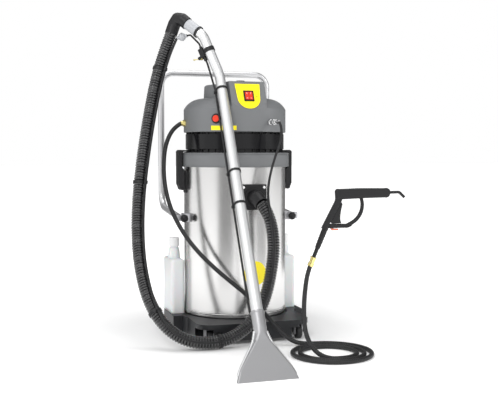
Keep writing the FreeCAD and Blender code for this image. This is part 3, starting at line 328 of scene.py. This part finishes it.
def weave(m):
    """Braid of two crossing sets of strands as a bump in the tube's own coordinates."""
    tree = m.node_tree
    shader = tree.nodes["Principled BSDF"]
    coords = tree.nodes.new("ShaderNodeTexCoord")
    split = tree.nodes.new("ShaderNodeSeparateXYZ")
    link(tree, coords, "UV", split, "Vector")

    def math_node(kind, *values):
        node = tree.nodes.new("ShaderNodeMath")
        node.operation = kind
        for slot, value in zip(node.inputs, values):
            if isinstance(value, float):
                slot.default_value = value
            else:
                tree.links.new(value, slot)
        return node.outputs[0]

    turn = math_node("MULTIPLY", split.outputs["X"], 2 * math.pi * STRANDS_AROUND)
    run = math_node("MULTIPLY", split.outputs["Y"], 2 * math.pi / STRAND_PITCH)
    rising = math_node("SINE", math_node("ADD", turn, run))
    falling = math_node("SINE", math_node("SUBTRACT", turn, run))
    height = math_node("MULTIPLY", rising, falling)
    bump = tree.nodes.new("ShaderNodeBump")
    bump.inputs["Strength"].default_value = STRAND_STRENGTH
    bump.inputs["Distance"].default_value = STRAND_DEPTH
    tree.links.new(height, bump.inputs["Height"])
    link(tree, bump, "Normal", shader, "Normal")
    ramp = tree.nodes.new("ShaderNodeMapRange")
    ramp.inputs["From Min"].default_value = -1
    ramp.inputs["From Max"].default_value = 1
    ramp.inputs["To Min"].default_value = BRAID_SMOOTHEST
    ramp.inputs["To Max"].default_value = BRAID_ROUGHEST
    tree.links.new(height, ramp.inputs["Value"])
    link(tree, ramp, "Result", shader, "Roughness")


weave(LOOKS["braid_black"])

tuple(GUN_ROUTE[0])


# ------------------------------------------------------------------ moulded and fitted pieces
# radius in millimetres that each fitted strip or bead starts from
HOOD_R = 172.85
COLLAR_R = 184.0
TANK_R = 172.4
BEAD_STEPS = 96


def ring_patch(name, radius, low, high, start, end, thick, look, steps=24):
    """Thin curved plate on an upright cylinder, between two turns from the front in degrees."""
    verts, faces = [], []
    for k in range(steps + 1):
        out = outward(math.radians(start + (end - start) * k / steps))
        for r, z in ((radius, low), (radius + thick, low), (radius + thick, high), (radius, high)):
            verts.append((out * r + Vector((0, 0, z))) * MM)
    for k in range(steps):
        for i in range(4):
            j = (i + 1) % 4
            faces.append((4 * k + i, 4 * k + j, 4 * k + 4 + j, 4 * k + 4 + i))
    faces += [(3, 2, 1, 0), tuple(4 * steps + i for i in range(4))]
    return built(name, verts, faces, look, "machine")


def oval_badge(name, radius, turn, half_turn, middle, half_height, thick, look, sides=48):
    """Thin blank oval bent round an upright cylinder, with its turns from the front in degrees."""
    verts, faces = [], []
    for depth in (0, thick):
        for k in range(sides):
            around = 2 * math.pi * k / sides
            out = outward(math.radians(turn + half_turn * math.cos(around)))
            height = middle + half_height * math.sin(around)
            verts.append((out * (radius + depth) + Vector((0, 0, height))) * MM)
    half = sides // 2
    for base in (0, sides):
        for k in range(1, half - 1):
            faces.append((base + k, base + k + 1, base + sides - k - 1, base + sides - k))
        for tip in (0, half):
            faces.append((base + tip, base + tip + 1, base + (tip - 1) % sides))
    for k in range(sides):
        j = (k + 1) % sides
        faces.append((k, j, sides + j, sides + k))
    return built(name, verts, faces, look, "machine")


def block(name, centre, x_dir, y_dir, size, look, body):
    """Small box with its sides along two given directions."""
    z_dir = x_dir.cross(y_dir).normalized()
    work = bmesh.new()
    bmesh.ops.create_cube(work, size=1.0)
    for v in work.verts:
        v.co = centre + x_dir * v.co.x * size[0] + y_dir * v.co.y * size[1] + z_dir * v.co.z * size[2]
    mesh = bpy.data.meshes.new(name)
    work.to_mesh(mesh)
    work.free()
    face_outward(mesh)
    return new_piece(name, mesh, look, body)


ring_patch("yellow_label_strip", HOOD_R, 679, 693, -43, -15, 0.25, "yellow_panel")
ring_patch("collar_upper_bead", COLLAR_R, 601, 604.5, -180, 180, 0.6, "grey_plastic", BEAD_STEPS)
ring_patch("collar_lower_bead", COLLAR_R, 560.5, 564, -180, 180, 0.6, "grey_plastic", BEAD_STEPS)
ring_patch("tank_lower_bead", TANK_R, 82, 86, -180, 180, 1.2, "steel", BEAD_STEPS)
oval_badge("yellow_tank_badge", TANK_R, 6, 13, 213, 40, 0.5, "yellow_panel")

# the leaning switch face: distances up it from its foot, out of it and sideways, in metres
FACE_LEAN = math.radians(24.2)
FACE_UP = Vector((0, math.sin(FACE_LEAN), math.cos(FACE_LEAN)))
FACE_OUT = Vector((0, -math.cos(FACE_LEAN), math.sin(FACE_LEAN)))
SIDEWAYS = Vector((1, 0, 0))
FACE_FOOT = mm(0, -172.8, 745)
SWITCH_MIDDLE = 0.047
MARK_ON = 0.056
MARK_OFF = 0.038
ROCKER_ASIDE = 0.0066
PANEL_MARK_ASIDE = 0.027
ROCKER_FACE = 0.0062
DIVIDER_FACE = 0.0045
PANEL_FACE = 0.0021


def on_face(name, aside, up, out, size, look, body):
    """Small block on the switch face."""
    centre = FACE_FOOT + SIDEWAYS * aside + FACE_UP * up + FACE_OUT * out
    return block(name, centre, SIDEWAYS, FACE_UP, size, look, body)


for side, name, rocker in ((-1, "vacuum", "rocker_left"), (1, "pump", "rocker_right")):
    on_face(f"rocker_mark_on_{name}", side * ROCKER_ASIDE, MARK_ON, ROCKER_FACE, (0.0012, 0.006, 0.0004),
            "cap_white", rocker)
    on_face(f"rocker_mark_off_{name}", side * ROCKER_ASIDE, MARK_OFF, ROCKER_FACE, (0.0045, 0.0012, 0.0004),
            "cap_white", rocker)
    on_face(f"panel_mark_{name}", side * PANEL_MARK_ASIDE, SWITCH_MIDDLE, PANEL_FACE, (0.007, 0.0014, 0.0003),
            "black_plastic", "machine")
on_face("rocker_divider", 0, SWITCH_MIDDLE, DIVIDER_FACE, (0.0012, 0.029, 0.002), "black_plastic", "machine")


def oval_cap(name, centre, half_x, half_y, thick, look, sides=40):
    """Low oval cap with a domed top."""
    verts, faces = [], []
    rings = [(1.0, 0.0), (1.0, 0.55), (0.93, 0.9), (0.8, 1.0)]
    for reach, lift in rings:
        for i in range(sides):
            a = 2 * math.pi * i / sides
            out = Vector((half_x * math.cos(a), half_y * math.sin(a), 0)) * reach
            verts.append(centre + out + Vector((0, 0, thick * lift)))
    for low in range(0, (len(rings) - 1) * sides, sides):
        for i in range(sides):
            j = (i + 1) % sides
            faces.append((low + i, low + j, low + sides + j, low + sides + i))
    faces.append(tuple(range((len(rings) - 1) * sides, len(rings) * sides)))
    faces.append(tuple(reversed(range(sides))))
    return built(name, verts, faces, look, "machine")


oval_cap("console_top_cap", mm(-11, -100, 838), 0.015, 0.012, 0.004, "black_plastic")


def bent_line(corners, radii, steps=14):
    """Straight runs joined by round bends, as points along a bent tube's centreline."""
    line = [corners[0]]
    for before, corner, after, radius in zip(corners, corners[1:], corners[2:], radii):
        into, away = (corner - before).normalized(), (after - corner).normalized()
        half = into.angle(away) / 2
        centre = corner + (away - into).normalized() * radius / math.cos(half)
        start = corner - into * radius * math.tan(half) - centre
        axis = into.cross(away).normalized()
        for k in range(steps + 1):
            line.append(centre + Quaternion(axis, 2 * half * k / steps) @ start)
    return line + [corners[-1]]


def hollow_tube(name, line, outer, inner, look, body, sides=40):
    """Open-ended tube with a wall, along a line of points."""
    verts, faces = [], []
    rings = len(line)
    for radius in (outer, inner):
        for p, across, other in frames(line):
            verts += circle(p, across, other, radius, sides)
    for k in range(rings - 1):
        for i in range(sides):
            j = (i + 1) % sides
            for low in (k * sides, (rings + k) * sides):
                faces.append((low + i, low + j, low + sides + j, low + sides + i))
    for k in (0, rings - 1):
        for i in range(sides):
            j = (i + 1) % sides
            faces.append((k * sides + i, k * sides + j, (rings + k) * sides + j, (rings + k) * sides + i))
    return built(name, verts, faces, look, body, smooth=50)


# the wand leans: its foot, and the directions across it and up it
WAND_FOOT = mm(-115.8, -681.0, 0)
WAND_WIDE = Vector((0.9995, -0.0185, -0.0273))
WAND_UP = Vector((0.033, 0.5607, 0.8273))
WAND_R = 0.0165
WAND_BORE = 0.015
WAND_SOCKET = 169          # where the tube leaves the floor tool, up from the foot
HANDLE_R = 0.011
HANDLE_BORE = 0.0095
HANDLE_HALF = 200
HANDLE_END = (-24, 390)    # Y and Z of the arms' front ends, of the bend at the back and of the top bar
HANDLE_BACK = (250, 414)
HANDLE_TOP = (250, 892)
FOLD_R = 0.0042
FOLD_SIDES = 12
FOLD_STEPS = 8


def beside_wand(wide, reach):
    return WAND_FOOT + (WAND_WIDE * wide + WAND_UP * reach) * MM


wand_corners = [beside_wand(0, WAND_SOCKET), mm(-81.6, -99.5, 858), mm(-124.8, -56, 989),
                mm(-168, -16, 1031)]
wand_line = bent_line(wand_corners, [0.09, 0.06])
wand = hollow_tube("wand_tube_bent", wand_line, WAND_R, WAND_BORE, "aluminium", "machine")
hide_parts("wand_tube")

handle_corners = [mm(-HANDLE_HALF, *at) for at in (HANDLE_END, HANDLE_BACK, HANDLE_TOP)]
handle_corners += [mm(HANDLE_HALF, *at) for at in (HANDLE_TOP, HANDLE_BACK, HANDLE_END)]
handle_line = bent_line(handle_corners, [0.06, 0.045, 0.045, 0.06])
handle = hollow_tube("push_handle_bent", handle_line, HANDLE_R, HANDLE_BORE, "handle_paint", "handle")
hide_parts("push_handle")

FOLD = ((82, 14), (76, 30), (50, 71), (24, 112), (18, 140))    # sideways and up the tool
for side, name in ((-1, "left"), (1, "right")):
    edge = [beside_wand(side * wide, up) for wide, up in FOLD]
    fold_line = spline_points("fold", edge, FOLD_STEPS)
    # real rolled edges of the floor tool, given the lighter aluminium instead of the tool's own grey metal as
    # a painted highlight along each edge
    tube(f"nozzle_fold_and_highlight_{name}", fold_line, lambda far: FOLD_R, "aluminium", "machine", FOLD_SIDES)

GROOVE_RIBS = 40
RIB_FROM = 159.5
RIB_TO = 164.8
RIB_HALF = 1.4
BOX_SIDES = ((0, 1, 3, 2), (4, 6, 7, 5), (0, 4, 5, 1), (2, 3, 7, 6), (0, 2, 6, 4), (1, 5, 7, 3))
for band, (low, high) in {"upper": (664.5, 672.5), "lower": (608.0, 616.0)}.items():
    verts, faces = [], []
    for k in range(GROOVE_RIBS):
        turn = 2 * math.pi * (k + 0.5) / GROOVE_RIBS
        aside = Vector((math.cos(turn), math.sin(turn), 0))
        base = len(verts)
        for r in (RIB_FROM, RIB_TO):
            for shift in (-RIB_HALF, RIB_HALF):
                for z in (low, high):
                    verts.append((outward(turn) * r + aside * shift + Vector((0, 0, z))) * MM)
        faces += [tuple(base + i for i in corners) for corners in BOX_SIDES]
    built(f"air_groove_ribs_{band}", verts, faces, "black_plastic", "machine")


# ------------------------------------------------------------------ studio and camera
CAMERA_AT = (-0.8805, -2.8682, 0.615)
CAMERA_LENS = 63.48
CAMERA_SENSOR = 36
CAMERA_DOWN = 3.36         # degrees below level
CAMERA_TURN = -18          # degrees about Z

LAMPS = (                  # name, place, point aimed at, size in metres, watts
    ("key", (-2.2, -2.6, 2.8), (0, 0, 0.5), (1.6, 1.6), 70),
    ("fill", (2.6, -1.8, 1.8), (0, 0, 0.5), (1.2, 2.0), 32),
    ("top", (0.0, 0.4, 3.2), (0, 0, 0.4), (2.0, 2.0), 35),
)

CARDS = (                  # name, first and last compass angle in degrees, grey
    ("card_front", -142, -110, 0.3),
    ("card_right", -60, -34, 0.5),
    ("card_behind", 20, 136, 0.16),
)
CARD_RADIUS = 1.6
CARD_HEIGHT = 2.0
CARD_LIFT = 0.001
CARD_STEPS = 24

FLOOR_HALF = 30.0
GLOW_NEAR = (0.35, 0.05)   # distance from the machine, and how much the floor glows there
GLOW_FAR = (1.5, 0.75)

ROOM_GREYS = (             # share of a turn from -X, and the room's grey there
    (0.0, 1.0), (0.085, 1.0), (0.105, 0.22), (0.18, 0.18), (0.205, 0.95), (0.30, 1.1), (0.33, 0.45),
    (0.40, 0.5), (0.46, 0.8), (0.5, 0.12), (0.60, 0.08), (0.70, 0.4), (0.76, 0.1), (0.88, 0.12),
    (0.91, 1.1), (1.0, 1.1),
)


def camera():
    data = bpy.data.cameras.new("camera")
    data.lens = CAMERA_LENS
    data.sensor_width = CAMERA_SENSOR
    cam = bpy.data.objects.new("camera", data)
    cam.location = CAMERA_AT
    cam.rotation_euler = (math.radians(90 - CAMERA_DOWN), 0, math.radians(CAMERA_TURN))
    bpy.context.scene.collection.objects.link(cam)
    bpy.context.scene.camera = cam


def lamp(name, place, aim, size, watts):
    data = bpy.data.lights.new(name, "AREA")
    data.shape = "RECTANGLE"
    data.size, data.size_y = size
    data.energy = watts
    obj = bpy.data.objects.new(name, data)
    obj.location = place
    obj.rotation_euler = (Vector(aim) - Vector(place)).to_track_quat("-Z", "Y").to_euler()
    bpy.context.scene.collection.objects.link(obj)


def card(name, start, end, grey):
    """Curved upright card around the machine, between two compass angles, that only reflections see."""
    m = paint(name, (0, 0, 0), 1.0, edge=0.0, Emission_Color=(grey, grey, grey, 1), Emission_Strength=1.0)
    verts, faces = [], []
    for k in range(CARD_STEPS + 1):
        turn = math.radians(start + (end - start) * k / CARD_STEPS)
        for z in (CARD_LIFT, CARD_HEIGHT):
            verts.append((CARD_RADIUS * math.cos(turn), CARD_RADIUS * math.sin(turn), z))
    for k in range(CARD_STEPS):
        faces.append((2 * k, 2 * k + 2, 2 * k + 3, 2 * k + 1))
    mesh = bpy.data.meshes.new(name)
    mesh.from_pydata(verts, [], faces)
    mesh.materials.append(m)
    obj = bpy.data.objects.new(name, mesh)
    bpy.context.scene.collection.objects.link(obj)
    obj.visible_camera = False
    obj.visible_diffuse = False
    obj.visible_shadow = False
    obj.visible_transmission = False


def floor_finish():
    """White floor that takes shadows under the machine and fades to plain white away from it."""
    m = paint("floor", (0.9, 0.9, 0.9), 0.7, edge=0.0, Emission_Color=(1, 1, 1, 1), Specular_IOR_Level=0.1)
    tree = m.node_tree
    coords = tree.nodes.new("ShaderNodeTexCoord")
    reach = tree.nodes.new("ShaderNodeVectorMath")
    reach.operation = "LENGTH"
    glow = tree.nodes.new("ShaderNodeMapRange")
    glow.inputs["From Min"].default_value = GLOW_NEAR[0]
    glow.inputs["From Max"].default_value = GLOW_FAR[0]
    glow.inputs["To Min"].default_value = GLOW_NEAR[1]
    glow.inputs["To Max"].default_value = GLOW_FAR[1]
    link(tree, coords, "Object", reach, "Vector")
    link(tree, reach, "Value", glow, "Value")
    link(tree, glow, "Result", tree.nodes["Principled BSDF"], "Emission Strength")
    return m


def floor():
    far = FLOOR_HALF
    mesh = bpy.data.meshes.new("floor")
    mesh.from_pydata([(-far, -far, 0), (far, -far, 0), (far, far, 0), (-far, far, 0)], [], [(0, 1, 2, 3)])
    obj = bpy.data.objects.new("floor", mesh)
    obj.data.materials.append(floor_finish())
    bpy.context.scene.collection.objects.link(obj)


def room():
    """White room seen directly; reflections and soft light see it in upright bands of grey."""
    world = bpy.data.worlds.new("room")
    bpy.context.scene.world = world
    world.use_nodes = True
    tree = world.node_tree
    back = tree.nodes["Background"]
    coords = tree.nodes.new("ShaderNodeTexCoord")
    split = tree.nodes.new("ShaderNodeSeparateXYZ")
    angle = tree.nodes.new("ShaderNodeMath")
    angle.operation = "ARCTAN2"
    scaled = tree.nodes.new("ShaderNodeMapRange")
    scaled.inputs["From Min"].default_value = -math.pi
    scaled.inputs["From Max"].default_value = math.pi
    ramp = tree.nodes.new("ShaderNodeValToRGB")
    link(tree, coords, "Generated", split, "Vector")
    link(tree, split, "Y", angle, 0)
    link(tree, split, "X", angle, 1)
    link(tree, angle, "Value", scaled, "Value")
    link(tree, scaled, "Result", ramp, "Fac")
    stops = ramp.color_ramp.elements
    for place, _ in ROOM_GREYS[1:-1]:
        stops.new(place)
    for stop, (_, grey) in zip(stops, ROOM_GREYS):
        stop.color = (grey, grey, grey, 1)
    rays = tree.nodes.new("ShaderNodeLightPath")
    white = tree.nodes.new("ShaderNodeMix")
    white.data_type = "RGBA"
    tree.links.new(rays.outputs["Is Camera Ray"], white.inputs["Factor"])
    tree.links.new(ramp.outputs["Color"], white.inputs[6])
    white.inputs[7].default_value = (1, 1, 1, 1)
    tree.links.new(white.outputs[2], back.inputs["Color"])
    back.inputs["Strength"].default_value = 1.0


camera()
room()
floor()
for settings in CARDS:
    card(*settings)
for settings in LAMPS:
    lamp(*settings)
bpy.context.scene.view_settings.view_transform = "Standard"
